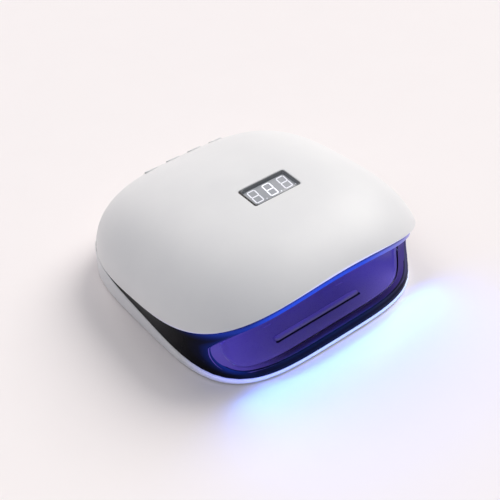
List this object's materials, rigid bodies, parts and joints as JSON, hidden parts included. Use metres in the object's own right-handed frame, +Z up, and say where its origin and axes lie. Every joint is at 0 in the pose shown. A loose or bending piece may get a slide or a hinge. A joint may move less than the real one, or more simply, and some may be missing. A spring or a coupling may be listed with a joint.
{
  "type": "nail lamp",
  "caption": "White domed nail-curing lamp with a low wide mouth for a hand, a lit purple-blue chamber, a digit display and a row of timer buttons.",
  "frame": {"origin": "centre of the object's plan outline, on the table that its feet stand on", "axes": "+Z up, +X to the right seen from the mouth, -Y out of the mouth towards the user"},
  "size_m": [0.2306, 0.2166, 0.0975],
  "materials": {
    "cover_white": "satin-gloss injection moulding",
    "base_white": "satin-gloss injection moulding",
    "tray_white": "smooth light floor that takes the light's colour",
    "band_black": "glossy black moulding",
    "chassis_black": "matt black moulding",
    "foot_rubber": "soft matt rubber",
    "zinc": "bright zinc and nickel plated steel",
    "reflector_silver": "light reflecting moulding",
    "led_board_white": "white solder mask",
    "emitter_yellow": "light source package",
    "lens_clear": "clear lens, lit blue violet",
    "bezel_grey": "dark grey moulding",
    "display_grey": "display face",
    "diffuser_white": "white diffuser block",
    "circuit_green": "green solder mask",
    "chip_black": "black moulded package",
    "capacitor_blue": "printed sleeve",
    "connector_ivory": "natural nylon",
    "sensor_dark": "dark clear plastic",
    "lead_black": "insulated lead",
    "lead_red": "insulated lead",
    "lead_grey": "insulated lead"
  },
  "bodies": {
    "base": {"base_pan": "base_white", "floor_tray": "tray_white", "tray_screws": "zinc", "rubber_feet": "foot_rubber", "base_magnets": "zinc"},
    "housing": {"side_band": "band_black", "mouth_ring": "tray_white", "top_cover": "cover_white", "chassis": "chassis_black", "housing_magnets": "zinc", "reflector": "reflector_silver", "ceiling_led_board": "led_board_white", "left_led_board": "led_board_white", "right_led_board": "led_board_white", "rear_led_board": "led_board_white", "led_emitters": "emitter_yellow", "led_lenses": "lens_clear", "display_bezel": "bezel_grey", "display_panel": "display_grey", "display_backlight": "diffuser_white", "control_board": "circuit_green", "control_chips": "chip_black", "power_coils": "chip_black", "board_capacitors": "capacitor_blue", "board_connectors": "connector_ivory", "buzzer": "chip_black", "control_board_screws": "zinc", "button_board": "circuit_green", "switch_bodies": "chip_black", "button_board_screws": "zinc", "power_socket": "chip_black", "socket_pin": "zinc", "socket_nut": "zinc", "sensor_housing": "chip_black", "sensor_lenses": "sensor_dark", "case_screws": "zinc", "power_lead": "lead_black", "led_leads": "lead_red", "button_lead": "lead_grey"},
    "key_10s": {"button_10s": "cover_white", "plunger_10s": "connector_ivory"},
    "key_30s": {"button_30s": "cover_white", "plunger_30s": "connector_ivory"},
    "key_60s": {"button_60s": "cover_white", "plunger_60s": "connector_ivory"},
    "key_99s": {"button_99s": "cover_white", "plunger_99s": "connector_ivory"}
  },
  "joints": [
    {"name": "housing_lift", "type": "slide", "parent": "base", "child": "housing", "axis": [0, 0, 1], "range_m": [0, 0.06]},
    {"name": "press_10s", "type": "slide", "parent": "housing", "child": "key_10s", "axis": [0, -0.6396, -0.7687], "range_m": [0, 0.0005], "stiffness_N_per_m": 2000, "springref_m": -0.0002},
    {"name": "press_30s", "type": "slide", "parent": "housing", "child": "key_30s", "axis": [0, -0.6396, -0.7687], "range_m": [0, 0.0005], "stiffness_N_per_m": 2000, "springref_m": -0.0002},
    {"name": "press_60s", "type": "slide", "parent": "housing", "child": "key_60s", "axis": [0, -0.6396, -0.7687], "range_m": [0, 0.0005], "stiffness_N_per_m": 2000, "springref_m": -0.0002},
    {"name": "press_99s", "type": "slide", "parent": "housing", "child": "key_99s", "axis": [0, -0.6396, -0.7687], "range_m": [0, 0.0005], "stiffness_N_per_m": 2000, "springref_m": -0.0002}
  ]
}
